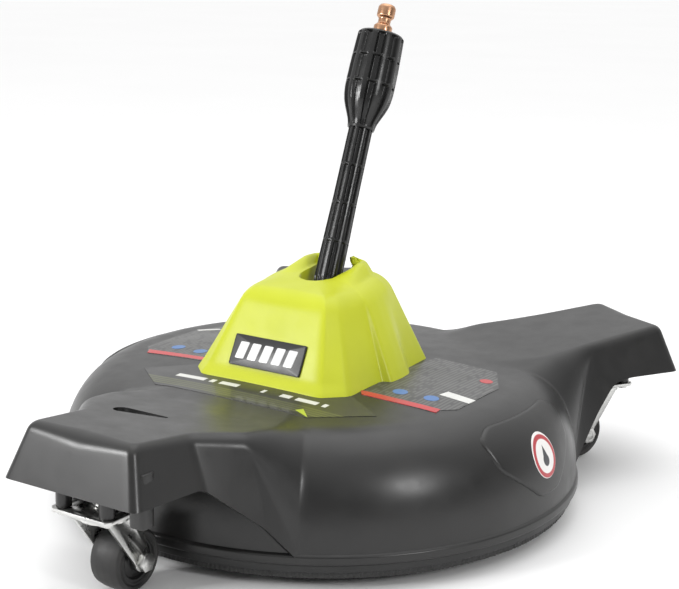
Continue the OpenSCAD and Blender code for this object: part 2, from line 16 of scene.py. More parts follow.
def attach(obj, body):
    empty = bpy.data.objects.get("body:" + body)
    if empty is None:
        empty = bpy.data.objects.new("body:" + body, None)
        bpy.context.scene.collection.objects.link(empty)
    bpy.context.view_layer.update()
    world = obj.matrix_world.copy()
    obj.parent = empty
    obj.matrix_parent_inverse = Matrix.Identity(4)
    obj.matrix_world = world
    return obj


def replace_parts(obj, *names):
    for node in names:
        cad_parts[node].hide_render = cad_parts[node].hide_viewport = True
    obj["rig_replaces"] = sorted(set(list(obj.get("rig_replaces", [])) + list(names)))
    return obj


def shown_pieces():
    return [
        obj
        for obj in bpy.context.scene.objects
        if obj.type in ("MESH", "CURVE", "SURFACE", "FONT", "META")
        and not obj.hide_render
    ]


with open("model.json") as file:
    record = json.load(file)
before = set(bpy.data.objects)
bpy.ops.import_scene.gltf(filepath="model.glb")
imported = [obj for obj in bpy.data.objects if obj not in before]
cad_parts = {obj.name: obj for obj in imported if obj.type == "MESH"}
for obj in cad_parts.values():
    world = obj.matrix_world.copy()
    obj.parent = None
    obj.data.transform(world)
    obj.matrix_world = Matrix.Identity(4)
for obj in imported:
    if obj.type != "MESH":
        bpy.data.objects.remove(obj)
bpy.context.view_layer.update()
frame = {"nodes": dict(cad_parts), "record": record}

MM = 0.001
TURN = 2 * math.pi

# --- deck, as in the CAD
DECK_R = 170.0
SHOULDER_R = 125.5
ROUNDNESS = 2.2             # exponent of the shoulder's superellipse
TOP_Z = 90.0
TOP_SAG = 4.5
SHOULDER_Z = TOP_Z - TOP_SAG
WALL_Z = 22.0
WALL = 3.0
WING_ANGLES = (-90.0, 57.0, 123.0)
WING_SPAN = {-90.0: 30.0, 57.0: 25.5, 123.0: 25.5}      # half of the angle a wing takes up
WING_RISE = 0.115           # slope of a wing's top
WING_REACH = {-90.0: 243.9, 57.0: 254.4, 123.0: 254.4}
END_Z = 101.0               # height of a wing's top at its end
LOW_Z = 69.0                # height of a wing's lower edge
CASTER_R = 214.0            # radius of the casters' swivel axes

# --- wand, as in the CAD
PIVOT = np.array([0.0, -3.0, 120.0])
LEAN = math.radians(21.0)
ALONG = np.array([0.0, math.sin(LEAN), math.cos(LEAN)])
ACROSS = np.array([0.0, math.cos(LEAN), -math.sin(LEAN)])

# --- camera, in metres, and the directions of its right and its top
LENS = 79.15
EYE = Vector((0.5211, -0.79494, 0.35536))
EYE_RIGHT = Vector((0.83984, 0.54244, 0.02075))
EYE_UP = Vector((-0.14036, 0.18008, 0.97359))


# ------------------------------------------------------------------ mesh tools
def smooth_step(x, low, high):
    """0 below low, 1 above high, and 3t^2 - 2t^3 between them."""
    t = np.clip((x - low) / (high - low), 0, 1)
    return t * t * (3 - 2 * t)


def grid_faces(rows, columns, close_rows=False, close_columns=False):
    """Quads between neighbouring points of a grid, wrapped round where it is closed."""
    r = np.arange(rows if close_rows else rows - 1)
    c = np.arange(columns if close_columns else columns - 1)
    r0, c0 = np.meshgrid(r, c, indexing="ij")
    r1, c1 = (r0 + 1) % rows, (c0 + 1) % columns
    quads = np.stack([r0 * columns + c0, r1 * columns + c0,
                      r1 * columns + c1, r0 * columns + c1], -1)
    return quads.reshape(-1, 4)


def facing_out(points, faces, middle):
    """The faces, all turned round if their normals point at the middle on the whole."""
    p = points.reshape(-1, 3)
    a, b, c, d = (p[faces[:, i]] for i in range(4))
    normals = np.cross(c - a, d - b)
    outward = (normals * ((a + c) / 2 - np.asarray(middle, float))).sum()
    return faces if outward > 0 else faces[:, ::-1]


def new_mesh(name, points, faces):
    """A mesh in metres from points in millimetres."""
    mesh = bpy.data.meshes.new(name)
    mesh.from_pydata((np.asarray(points).reshape(-1, 3) * MM).tolist(), [], faces.tolist())
    return mesh


def tidy(mesh, outward=True, sharp=35.0):
    """Merges doubled points, drops empty faces and, on a closed shell, turns faces outwards."""
    bm = bmesh.new()
    bm.from_mesh(mesh)
    bmesh.ops.remove_doubles(bm, verts=bm.verts, dist=2e-6)
    bmesh.ops.dissolve_degenerate(bm, edges=bm.edges, dist=1e-7)
    if outward:
        bmesh.ops.recalc_face_normals(bm, faces=bm.faces)
    bm.to_mesh(mesh)
    bm.free()
    mesh.shade_smooth()
    mesh.set_sharp_from_angle(angle=math.radians(sharp))
    return mesh


def place(mesh, body, material, nodes=()):
    """Makes a piece of the mesh, which rides on a body and may stand for CAD nodes."""
    piece = bpy.data.objects.new(mesh.name, mesh)
    bpy.context.scene.collection.objects.link(piece)
    piece.data.materials.append(material)
    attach(piece, body)
    if nodes:
        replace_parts(piece, *nodes)
    return piece


def applied(piece):
    """Puts the result of a piece's modifiers into its mesh."""
    graph = bpy.context.evaluated_depsgraph_get()
    mesh = bpy.data.meshes.new_from_object(piece.evaluated_get(graph))
    piece.modifiers.clear()
    piece.data = mesh
    return piece


def joined(parts):
    """Points and quads of several grids as one."""
    points, faces, start = [], [], 0
    for p, f in parts:
        p = p.reshape(-1, 3)
        points.append(p)
        faces.append(f + start)
        start += len(p)
    return np.concatenate(points), np.concatenate(faces)


def eased(stations, ease, straight, corner=6):
    """Stations joined by straight stretches. Each inner station's corner is cut by a
    quadratic curve that starts and ends at its share `ease` of the stretches beside it."""
    rows = []
    for i in range(len(stations) - 1):
        a, b = stations[i], stations[i + 1]
        t = np.linspace(ease[i], 1 - ease[i + 1], straight[i] + 1)[:, None]
        rows.append(a + (b - a) * t)
        if i + 2 < len(stations):
            c = stations[i + 1]
            p = c + (a - c) * ease[i + 1]
            q = c + (stations[i + 2] - c) * ease[i + 1]
            t = np.linspace(0, 1, corner + 2)[1:-1, None]
            rows.append((1 - t) ** 2 * p + 2 * t * (1 - t) * c + t ** 2 * q)
    return np.concatenate(rows)


def turned(profile, steps=96, closed=True, start=0.0):
    """A profile of (radius, height) rows turned about Z: x = r cos a, y = r sin a."""
    a = start + np.linspace(0, TURN, steps, endpoint=False)
    r, z = profile[:, 0][None, :], profile[:, 1][None, :]
    points = np.stack([r * np.cos(a)[:, None], r * np.sin(a)[:, None],
                       z + 0 * a[:, None]], -1)
    return points, grid_faces(steps, len(profile), True, closed)


def rounded_outline(corners, radius, steps=4, closed=True):
    """A polygon with each corner cut by a quadratic curve, at most half its sides long."""
    p = np.asarray(corners, float)
    before, after = np.roll(p, 1, 0), np.roll(p, -1, 0)
    if not closed:
        before[0], after[-1] = p[0], p[-1]
    size = np.broadcast_to(np.asarray(radius, float), len(p))[:, None]

    def towards(q):
        away = q - p
        length = np.maximum(np.linalg.norm(away, axis=1, keepdims=True), 1e-9)
        return p + away * np.minimum(size / length, 0.49)

    t = np.linspace(0, 1, steps + 1)[None, :, None]
    a, b = towards(before)[:, None], towards(after)[:, None]
    return ((1 - t) ** 2 * a + 2 * t * (1 - t) * p[:, None] + t ** 2 * b).reshape(-1, p.shape[1])


def wand_frame(points):
    """Points given as (x, across, along) from the tilt axis, put in the row frame."""
    p = points.reshape(-1, 3)
    return PIVOT + p[:, :1] * np.array([1.0, 0, 0]) + p[:, 1:2] * ACROSS + p[:, 2:] * ALONG


def rotated(points, degrees):
    """Points turned about Z."""
    c, s = math.cos(math.radians(degrees)), math.sin(math.radians(degrees))
    x, y = points[..., 0], points[..., 1]
    out = np.array(points, float)
    out[..., 0], out[..., 1] = c * x - s * y, s * x + c * y
    return out


# ------------------------------------------------------------------- materials
class Finish:
    """A Principled material with short calls that add nodes to it."""

    def __init__(self, name, colour, rough, metallic=0.0, coat=0.0, specular=0.5):
        self.material = bpy.data.materials.new(name)
        self.material.use_nodes = True
        self.tree = self.material.node_tree
        self.shader = self.tree.nodes["Principled BSDF"]
        self.shader.inputs["Base Color"].default_value = (*colour, 1)
        self.shader.inputs["Roughness"].default_value = rough
        self.shader.inputs["Metallic"].default_value = metallic
        self.shader.inputs["Coat Weight"].default_value = coat
        self.shader.inputs["Specular IOR Level"].default_value = specular
        self.material.diffuse_color = (*colour, 1)
        self.where = self.add("ShaderNodeTexCoord").outputs["Object"]

    def add(self, kind, **settings):
        node = self.tree.nodes.new(kind)
        for key, value in settings.items():
            setattr(node, key, value)
        return node

    def feed(self, socket, value):
        if isinstance(value, bpy.types.NodeSocket):
            self.tree.links.new(value, socket)
        else:
            socket.default_value = value

    def noise(self, scale, detail=4.0, stretch=(1, 1, 1), rough=0.55):
        """Cloud pattern whose cells are about 1 / scale metres, stretched per axis."""
        spot = self.add("ShaderNodeMapping")
        self.feed(spot.inputs["Vector"], self.where)
        spot.inputs["Scale"].default_value = stretch
        node = self.add("ShaderNodeTexNoise")
        self.feed(node.inputs["Vector"], spot.outputs["Vector"])
        node.inputs["Scale"].default_value = scale
        node.inputs["Detail"].default_value = detail
        node.inputs["Roughness"].default_value = rough
        return node.outputs["Fac"]

    def maths(self, operation, a, b=0.0, c=0.0):
        node = self.add("ShaderNodeMath", operation=operation)
        for socket, value in zip(node.inputs, (a, b, c)):
            self.feed(socket, value)
        return node.outputs[0]

    def axes(self):
        node = self.add("ShaderNodeSeparateXYZ")
        self.feed(node.inputs[0], self.where)
        return node.outputs

    def spread(self, value, low, high, to_low=0.0, to_high=1.0):
        """A value's stretch low to high mapped to another one, with its ends held."""
        node = self.add("ShaderNodeMapRange")
        for key, v in (("Value", value), ("From Min", low), ("From Max", high),
                       ("To Min", to_low), ("To Max", to_high)):
            self.feed(node.inputs[key], v)
        return node.outputs["Result"]

    def band(self, value, low, high, soft=0.0002):
        """1 between low and high, with soft edges."""
        up = self.spread(value, low - soft, low + soft)
        down = self.spread(value, high - soft, high + soft, 1.0, 0.0)
        return self.maths("MULTIPLY", up, down)

    def mix(self, share, a, b):
        node = self.add("ShaderNodeMix", data_type="RGBA")
        self.feed(node.inputs[0], share)
        for socket, value in ((node.inputs[6], a), (node.inputs[7], b)):
            self.feed(socket, (*value, 1) if isinstance(value, tuple) else value)
        return node.outputs[2]

    def colour(self, value):
        self.feed(self.shader.inputs["Base Color"], value)
        return self

    def clouded(self, dark, light, scale=9.0, low=0.35, high=0.65):
        """Base colour that drifts between two tones."""
        self.colour(self.mix(self.spread(self.noise(scale, 3.0), low, high), dark, light))
        return self

    def rubbed(self, scale, low, high):
        """Roughness that drifts between two values."""
        self.feed(self.shader.inputs["Roughness"],
                  self.spread(self.noise(scale, 5.0), 0.3, 0.7, low, high))
        return self

    def grained(self, scale, depth, stretch=(1, 1, 1), strength=0.5):
        """Fine bumps, `depth` metres high."""
        bump = self.add("ShaderNodeBump")
        bump.inputs["Strength"].default_value = strength
        bump.inputs["Distance"].default_value = depth
        self.feed(bump.inputs["Height"], self.noise(scale, 6.0, stretch))
        self.feed(self.shader.inputs["Normal"], bump.outputs["Normal"])
        return self


def shell_plastic():
    f = Finish("shell_plastic", (0.015, 0.015, 0.015), 0.36)
    return f.clouded((0.010, 0.010, 0.010), (0.014, 0.0137, 0.0133), 14).rubbed(
        60, 0.29, 0.38).grained(1500, 0.00006, strength=0.3).material


def lime_plastic():
    f = Finish("lime_plastic", (0.49, 0.535, 0.018), 0.4, specular=0.4)
    return f.clouded((0.47, 0.515, 0.015), (0.51, 0.555, 0.021), 20).rubbed(
        70, 0.33, 0.43).grained(1700, 0.00005, strength=0.3).material


def black_plastic(name, tone, low, high):
    f = Finish(name, (tone,) * 3, low)
    return f.clouded((tone * 0.85,) * 3, (tone * 1.2,) * 3, 25).rubbed(
        90, low, high).grained(1400, 0.00006, strength=0.3).material


def tyre_rubber():
    f = Finish("tyre_rubber", (0.018, 0.018, 0.018), 0.5, specular=0.4)
    return f.clouded((0.014, 0.014, 0.014), (0.03, 0.029, 0.028), 60).rubbed(
        120, 0.42, 0.62).grained(900, 0.00012, strength=0.4).material


def bristle_nylon():
    f = Finish("bristle_nylon", (0.012, 0.012, 0.012), 0.55)
    return f.clouded((0.008, 0.008, 0.008), (0.03, 0.03, 0.03), 900, 0.3, 0.7).grained(
        700, 0.0003, (1, 1, 0.05), 0.8).material


def metal(name, dark, light, low, high, stretch=(1, 1, 1)):
    f = Finish(name, light, low, metallic=1.0)
    return f.clouded(dark, light, 60, 0.3, 0.7).rubbed(150, low, high).grained(
        1200, 0.00003, stretch, 0.35).material


# ------------------------------------------------------------------------ deck
def dome_z(r):
    """Height of the deck's shallow dome: it falls with the square of the radius."""
    return TOP_Z - TOP_SAG * (r / SHOULDER_R) ** 2


def top_z(x, y):
    """Height of the moulding's top: the dome, and over each wing the higher of the dome and
    the wing's rising plane, with the step between them rounded over a few millimetres."""
    r, azimuth = np.hypot(x, y), np.degrees(np.arctan2(y, x))
    z = dome_z(r)
    dome = z.copy()
    soft = 3.5
    for angle in WING_ANGLES:
        off = np.abs((azimuth - angle + 180) % 360 - 180)
        u = r * np.cos(np.radians(off))
        plane = END_Z + WING_RISE * (u - WING_REACH[angle] + 11)
        h = np.clip(1 - np.abs(plane - dome) / soft, 0, 1)
        lift = np.maximum(plane, dome) + h * h * soft / 4 - dome
        span = WING_SPAN[angle]
        z = z + lift * (1 - smooth_step(off, span - 8, span)) * (off < span)
    return z


def meridian(azimuth):
    """Stations of the plain dome: inner point, start of the shoulder, its outer corner,
    the wall's top and its foot, all at one azimuth; last the shoulder's exponent."""
    c, s = np.cos(np.radians(azimuth)), np.sin(np.radians(azimuth))
    one = np.ones_like(c)
    return np.stack([100 * c, 100 * s, SHOULDER_R * c, SHOULDER_R * s,
                     DECK_R * c, DECK_R * s, SHOULDER_Z * one,
                     DECK_R * c, DECK_R * s, WALL_Z * one,
                     DECK_R * c, DECK_R * s, 18.0 * one, 2 / ROUNDNESS * one], -1)


def wing_station(inner, corner, foot, fillet=9.0):
    """One station of a wing's edge: the top ends in a fillet at the corner, and the side
    runs straight from there down to the foot."""
    corner, foot, inner = np.array(corner, float), np.array(foot, float), np.array(inner, float)
    back = inner - corner[:2]
    down = foot - corner
    start = corner[:2] + back / np.linalg.norm(back) * fillet
    end = corner + down / np.linalg.norm(down) * fillet
    return np.concatenate([inner, start, corner, end, foot, [0.85]])


def half_wing(angle):
    """Stations from the middle of a wing's end round its corner, along its creases and
    into the valley where its side runs into the dome. The front wing has a flare between
    two creases; the rear ones have one flat side."""
    reach = WING_REACH[angle]
    end = reach - 11

    def over(u):
        return END_Z + WING_RISE * (u - end)

    first = [wing_station((205, 0), (end + 0.5, 0, over(end)), (reach, 0, LOW_Z)),
             wing_station((205, 20), (end + 0.5, 37.0, over(end)), (reach, 47.5, LOW_Z), 6.0)]
    if angle == -90.0:
        flare = [wing_station((172, 22), (190.5, 40.5, over(190.5)), (191.5, 50.5, 67.5), 6.5),
                 wing_station((140, 38), (165, 60.5, over(165) - 1.5), (164.5, 73.5, 41), 7.5)]
        span = meridian(np.array(WING_SPAN[angle]))
        return eased(np.stack(first + flare + [span]), [0, 0.12, 0.10, 0.11, 0], [10, 8, 8, 14], 7)
    flare = [wing_station((178, 22), (199, 41.5, over(199)), (200, 50.5, 69), 6.5),
             wing_station((150, 28), (178, 44.2, over(178)), (181, 57.5, 49), 7.0)]
    span = meridian(np.array(WING_SPAN[angle]))
    return eased(np.stack(first + flare + [span]), [0, 0.12, 0.3, 0.3, 0], [10, 8, 5, 14], 7)


def whole_wing(angle):
    """Both halves of a wing, turned to its place."""
    half = half_wing(angle)
    other = half[::-1].copy()
    other[:, [1, 3, 5, 8, 11]] *= -1
    rows = np.concatenate([other[:-1], half])
    for i in (0, 2, 4, 7, 10):
        rows[:, i:i + 2] = rotated(rows[:, i:i + 2], angle)
    return rows


def deck_loop():
    """Stations all the way round: front wing, right wall, the two rear wings, left wall."""
    front, rear = WING_ANGLES[0], WING_ANGLES[1]
    low, high = front + WING_SPAN[front], rear - WING_SPAN[rear]
    between = rear + WING_SPAN[rear]
    right = meridian(np.linspace(low, high, 62))
    back = meridian(np.linspace(between, 180 - between, 7))
    left = meridian(np.linspace(180 - high, 180 - low, 62))
    parts = [whole_wing(front), right, whole_wing(rear), back, whole_wing(180 - rear), left]
    return np.concatenate([p[:-1] for p in parts])


def deck_surface():
    """The moulding's outer skin. Rows run from the neck hole across the top, over the
    shoulder or fillet and down the wall. The shoulder is a quarter of a superellipse:
    corner + (start - corner)(1 - sin^e) + (end - corner)(1 - cos^e)."""
    s = deck_loop()
    inner, start, corner, end, foot, e = (s[:, 0:2], s[:, 2:4], s[:, 4:7], s[:, 7:10],
                                          s[:, 10:13], s[:, 13:14])
    neck = inner / np.linalg.norm(inner, axis=1, keepdims=True) * 17

    def on_top(a, b, steps):
        t = np.array(steps)[None, :, None]
        xy = a[:, None] * (1 - t) + b[:, None] * t
        return np.concatenate([xy, top_z(xy[..., 0], xy[..., 1])[..., None]], -1)

    first = on_top(neck, inner, np.linspace(0, 1, 30))
    second = on_top(inner, start, np.linspace(0, 1, 6)[1:])
    begin = second[:, -1]
    a = np.linspace(0, math.pi / 2, 19)[1:][None, :, None]
    bend = (corner[:, None] + (begin - corner)[:, None] * (1 - np.sin(a) ** e[:, None])
            + (end - corner)[:, None] * (1 - np.cos(a).clip(0) ** e[:, None]))
    t = np.linspace(0, 1, 9)[1:][None, :, None]
    wall = end[:, None] * (1 - t) + foot[:, None] * t
    points = np.concatenate([first, second, bend, wall], 1)
    return points, grid_faces(*points.shape[:2], close_rows=True)


def slot_cutter():
    """A tapering upright prism through the front wing's top."""
    angles = np.linspace(math.pi / 2, 3 * math.pi / 2, 13)
    big = np.stack([-23 + 6.0 * np.cos(angles), -171.5 + 5.5 * np.sin(angles)], -1)
    small = np.stack([5 - 1.6 * np.cos(angles), -167.6 - 1.6 * np.sin(angles)], -1)
    ring = np.concatenate([big, small])
    count = len(ring)
    low = np.column_stack([ring, np.full(count, 80.0)])
    high = np.column_stack([ring, np.full(count, 105.0)])
    bm = bmesh.new()
    bottom = [bm.verts.new(p * MM) for p in low]
    top = [bm.verts.new(p * MM) for p in high]
    bm.faces.new(bottom)
    bm.faces.new(top)
    for i in range(count):
        bm.faces.new([bottom[i], bottom[(i + 1) % count], top[(i + 1) % count], top[i]])
    bmesh.ops.recalc_face_normals(bm, faces=bm.faces)
    mesh = bpy.data.meshes.new("slot_cutter")
    bm.to_mesh(mesh)
    bm.free()
    cutter = bpy.data.objects.new("slot_cutter", mesh)
    bpy.context.scene.collection.objects.link(cutter)
    return cutter


def make_deck(material):
    points, faces = deck_surface()
    faces = facing_out(points, faces, (0, 0, 40))
    mesh = tidy(new_mesh("deck_moulding", points, faces), outward=False, sharp=40)
    deck = place(mesh, "deck", material, ["deck_shell"])
    skin = deck.modifiers.new("wall", "SOLIDIFY")
    skin.thickness, skin.offset = WALL * MM, -1
    cutter = slot_cutter()
    cut = deck.modifiers.new("slot", "BOOLEAN")
    cut.object, cut.solver = cutter, "EXACT"
    applied(deck)
    bpy.data.objects.remove(cutter)
    deck.data.shade_smooth()
    deck.data.set_sharp_from_angle(angle=math.radians(40))
    return deck


def shoulder_r(z):
    """Radius of the dome's outer face at a height on its shoulder or wall."""
    share = np.clip((z - WALL_Z) / (SHOULDER_Z - WALL_Z), 0, 1)
    return SHOULDER_R + (DECK_R - SHOULDER_R) * (1 - share ** ROUNDNESS) ** (1 / ROUNDNESS)


def bell_profile():
    """Section of the round bell under the moulding: its own skin half a millimetre inside
    the outer one, a rounded bead round the rim and a flange turned inwards."""
    def skin(inset):
        r = np.linspace(30, SHOULDER_R, 12)
        top = np.stack([r, dome_z(r) - inset], -1)
        a = np.linspace(0, math.pi / 2, 24)[1:]
        bend = np.stack([SHOULDER_R + (DECK_R - inset - SHOULDER_R) * np.sin(a) ** (2 / ROUNDNESS),
                         WALL_Z + (SHOULDER_Z - inset - WALL_Z)
                         * np.cos(a).clip(0) ** (2 / ROUNDNESS)], -1)
        return np.concatenate([top, bend])
    bead = rounded_outline([(169.9, 23.2), (171.5, 22.0), (171.5, 17.4), (170.2, 16.6),
                            (148.2, 16.6), (148.2, 19.5), (167.0, 19.5)], 0.9, 4, closed=False)
    return np.concatenate([skin(0.6), bead, skin(WALL)[::-1]])


def make_bell(material):
    mesh = tidy(new_mesh("deck_bell", *turned(bell_profile(), 240)), sharp=40)
    return place(mesh, "deck", material, ["deck_shell"])


def block(low, high, radius):
    """An upright block with rounded corners and slightly rounded ends."""
    (x0, y0, z0), (x1, y1, z1) = low, high
    ring = rounded_outline([(x0, y0), (x1, y0), (x1, y1), (x0, y1)], radius, 5)
    centre = ring.mean(0)
    steps = [(0.0, z0), (0.86, z0), (0.96, z0 + 0.25), (1.0, z0 + 0.9), (1.0, z1 - 0.9),
             (0.96, z1 - 0.25), (0.86, z1), (0.0, z1)]
    points = np.stack([np.column_stack([centre + (ring - centre) * k, np.full(len(ring), z)])
                       for k, z in steps], 1)
    return points, grid_faces(*points.shape[:2], close_rows=True)


def post(x, y, radius, low, high):
    """A round post with softened edges."""
    profile = np.array([(0, low), (radius - 0.6, low), (radius - 0.1, low + 0.3),
                        (radius, low + 0.8), (radius, high), (0, high)], float)
    points, faces = turned(profile, 28, closed=False)
    return points + np.array([x, y, 0.0]), faces


def make_wing_posts(material):
    """The screw bosses over each caster plate and the short post under a corner."""
    parts = []
    for angle in WING_ANGLES:
        for du in (-15.5, 15.5):
            for dv in (-15.5, 15.5):
                parts.append(post(CASTER_R + du, dv, 4.5, 55.02, 95 + 0.1 * du))
        parts.append(block((223.2, 33.5, 55.3), (233.8, 44.0, 86), 3.0))
        parts[-5:] = [(rotated(p, angle), f) for p, f in parts[-5:]]
    mesh = tidy(new_mesh("wing_posts", *joined(parts)))
    return place(mesh, "deck", material, ["deck_shell"])


# ------------------------------------------------------- pads, films, stickers
def filled(outline, rings):
    """Points from the outline's middle out to it, as shares of the way."""
    outline = np.asarray(outline, float)
    middle = outline.mean(0)
    return middle + (outline - middle)[:, None] * np.asarray(rings)[None, :, None]


def refined_outline(corners, step):
    """A closed outline with points added so that none of its stretches is over a step."""
    p = np.asarray(corners, float)
    q = np.roll(p, -1, 0)
    out = []
    for a, b in zip(p, q):
        n = max(1, int(np.ceil(np.linalg.norm(b - a) / step)))
        out.append(a + (b - a) * (np.arange(n) / n)[:, None])
    return np.concatenate(out)


def wall_point(side, y, z, lift):
    """The point of the dome's wall at y and z, moved out by lift along the wall's normal,
    which is the gradient of the superellipse."""
    r = shoulder_r(z)
    x = np.sqrt(np.maximum(r * r - y * y, 1))
    wide, high, power = DECK_R - SHOULDER_R, SHOULDER_Z - WALL_Z, ROUNDNESS - 1
    gr = (np.maximum(r - SHOULDER_R, 0.01) / wide) ** power / wide
    gz = (np.maximum(z - WALL_Z, 0) / high) ** power / high
    n = np.stack([gr * x / r, gr * y / r, gz], -1)
    n /= np.linalg.norm(n, axis=-1, keepdims=True)
    p = np.stack([x, y, z], -1) + n * lift[..., None]
    p[..., 0] *= side
    return p


def wall_patch(side, outline, thickness, base=0.0, bevel=0.0):
    """A thin plate on the wall: a filled outline lifted off it, with a bevelled edge, and
    the same outline just under the wall's face to close it."""
    size = np.abs(outline - outline.mean(0)).max()
    inner = 1 - bevel / size
    rings = np.array([0, 0.2, 0.4, 0.6, 0.8, inner - 0.03, inner, (1 + inner) / 2, 1.0,
                      1.0, 0.8, 0.4, 0.0])
    lifts = np.array([1.0, 1, 1, 1, 1, 1, 0.96, 0.55, 0.0, -1, -1, -1, -1])
    lifts = np.where(lifts >= 0, base + thickness * lifts, -0.6)
    yz = filled(outline, rings)
    lift = np.broadcast_to(lifts[None, :], yz.shape[:2])
    points = wall_point(side, yz[..., 0], yz[..., 1], lift)
    return points, grid_faces(*points.shape[:2], close_rows=True)


PAD_Y = -3.0
PAD = [(-39, 80), (33, 80), (46, 75), (40, 58), (9, 34.5), (-14, 34.5), (-47, 58), (-51, 75)]
PAD_T = 1.15


def make_side_pads(material):
    outline = refined_outline(rounded_outline(PAD, 5, 4), 4)
    parts = [wall_patch(side, outline, PAD_T, bevel=2.0) for side in (1, -1)]
    mesh = tidy(new_mesh("side_pads", *joined(parts)), sharp=60)
    return place(mesh, "deck", material, ["deck_shell"])


STICKER_Z = 57.0


def sticker_film():
    """White round film with a red ring and a plain dark drop in its middle."""
    f = Finish("sticker_film", (0.8, 0.78, 0.76), 0.35, coat=0.3)
    _, y, z = f.axes()
    y = f.maths("SUBTRACT", y, PAD_Y * MM)
    up = f.maths("SUBTRACT", z, STICKER_Z * MM)
    away = f.maths("SQRT", f.maths("ADD", f.maths("POWER", y, 2.0),
                                   f.maths("POWER", up, 2.0)))
    ring = f.band(away, 0.0098, 0.0124)
    # the drop: a disc below, drawn in to a point above
    across = f.maths("ABSOLUTE", y)
    width = f.spread(up, -0.002, 0.0068, 0.0034, 0.0)
    drop_top = f.maths("MULTIPLY", f.maths("LESS_THAN", across, width),
                       f.band(up, -0.002, 0.0068))
    low = f.maths("SQRT", f.maths("ADD", f.maths("POWER", y, 2.0),
                                  f.maths("POWER", f.maths("ADD", up, 0.0022), 2.0)))
    drop = f.maths("MAXIMUM", drop_top, f.spread(low, 0.0033, 0.0037, 1.0, 0.0))
    paper = f.mix(f.spread(f.noise(40), 0.3, 0.7), (0.74, 0.72, 0.70), (0.82, 0.80, 0.78))
    inked = f.mix(ring, paper, (0.42, 0.03, 0.04))
    f.colour(f.mix(drop, inked, (0.03, 0.03, 0.035)))
    return f.rubbed(60, 0.3, 0.42).material


def make_stickers():
    a = np.linspace(0, TURN, 72, endpoint=False)
    outline = np.stack([PAD_Y + 12.9 * np.cos(a), STICKER_Z + 13.1 * np.sin(a)], -1)
    parts = [wall_patch(side, outline, 0.25, PAD_T, 0.4) for side in (1, -1)]
    mesh = tidy(new_mesh("round_sticker_films", *joined(parts)), sharp=60)
    return place(mesh, "deck", sticker_film(), ["round_stickers"])


def film(outline, lift, step=3.0):
    """A film on the moulding's top: a filled outline laid at a small lift above it, and
    the same outline under the face to close it."""
    ring = refined_outline(outline, step)
    shares = np.concatenate([np.linspace(0, 1, 22), [1.0, 0.5, 0.0]])
    lifts = np.concatenate([np.full(22, lift), np.full(3, -0.4)])
    xy = filled(ring, shares)
    z = top_z(xy[..., 0], xy[..., 1]) + lifts[None, :]
    points = np.concatenate([xy, z[..., None]], -1)
    return points, grid_faces(*points.shape[:2], close_rows=True)


def greeked(f, x, y, rows, height, share, seed):
    """Rows of short blocks of uneven length, as a page's lines look from afar."""
    line = f.maths("DIVIDE", y, rows)
    index = f.maths("FLOOR", line)
    inside = f.band(f.maths("FRACT", line), 0.5 - height / 2, 0.5 + height / 2, 0.06)
    shift = f.maths("FRACT", f.maths("MULTIPLY", f.maths("SINE", f.maths(
        "MULTIPLY", index, 12.9898 + seed)), 43758.5))
    along = f.maths("ADD", f.maths("MULTIPLY", x, 260.0), f.maths("MULTIPLY", shift, 37.0))
    cell = f.maths("FLOOR", along)
    chance = f.maths("FRACT", f.maths("MULTIPLY", f.maths("SINE", f.maths(
        "ADD", f.maths("MULTIPLY", cell, 78.233), f.maths("MULTIPLY", index, 3.7))), 24634.6))
    return f.maths("MULTIPLY", inside, f.maths("LESS_THAN", chance, share))


FRONT_LABEL = [(-86, -78), (-57, -102), (57, -102), (88.5, -75), (60, -56), (-60, -56)]
SIDE_LABEL = [(60, -47.5), (108.5, -47.5), (120.5, -33), (120.5, 20.5), (103.5, 51.5), (58, 51.5),
              (56, 20), (58, -20)]


def front_film():
    """Black film with a row of pale blocks and a field of thin olive stripes."""
    f = Finish("front_film", (0.02, 0.02, 0.02), 0.35, coat=0.2)
    x, y, _ = f.axes()
    base = f.mix(f.spread(f.noise(30), 0.3, 0.7), (0.016, 0.016, 0.016), (0.026, 0.026, 0.026))
    blocks = f.maths("MULTIPLY", greeked(f, x, f.maths("ADD", y, 0.0835), 0.008, 0.62, 0.72, 1.0),
                     f.band(y, -0.0835, -0.0765))
    ends = f.maths("ABSOLUTE", f.maths("SUBTRACT", f.maths("ABSOLUTE", x), 0.033))
    blocks = f.maths("MULTIPLY", blocks, f.maths("LESS_THAN", ends, 0.024))
    field = f.band(y, -0.0985, -0.0868, 0.0003)
    line = f.maths("FRACT", f.maths("DIVIDE", f.maths("ADD", y, 0.2), 0.0029))
    stripe = f.maths("MULTIPLY", field, f.band(line, 0.18, 0.82, 0.1))
    inked = f.mix(stripe, base, (0.075, 0.08, 0.035))
    f.colour(f.mix(blocks, inked, (0.62, 0.62, 0.60)))
    return f.rubbed(50, 0.3, 0.42).material


def side_film():
    """Dark grey film with rows of small grey blocks."""
    f = Finish("side_film", (0.05, 0.05, 0.05), 0.38, coat=0.15)
    x, y, _ = f.axes()
    base = f.mix(f.spread(f.noise(30), 0.3, 0.7), (0.035, 0.035, 0.036), (0.05, 0.05, 0.05))
    rows = greeked(f, y, x, 0.0026, 0.55, 0.8, 2.0)
    f.colour(f.mix(f.maths("MULTIPLY", rows, 0.6), base, (0.13, 0.13, 0.125)))
    return f.rubbed(50, 0.32, 0.45).material


def plain_film(name, colour):
    f = Finish(name, colour, 0.35, coat=0.2)
    dark = tuple(0.86 * c for c in colour)
    return f.clouded(dark, colour, 60, 0.3, 0.7).rubbed(50, 0.3, 0.42).material


def disc_outline(x, y, radius):
    a = np.linspace(0, TURN, 28, endpoint=False)
    return np.stack([x + radius * np.cos(a), y + radius * np.sin(a)], -1)


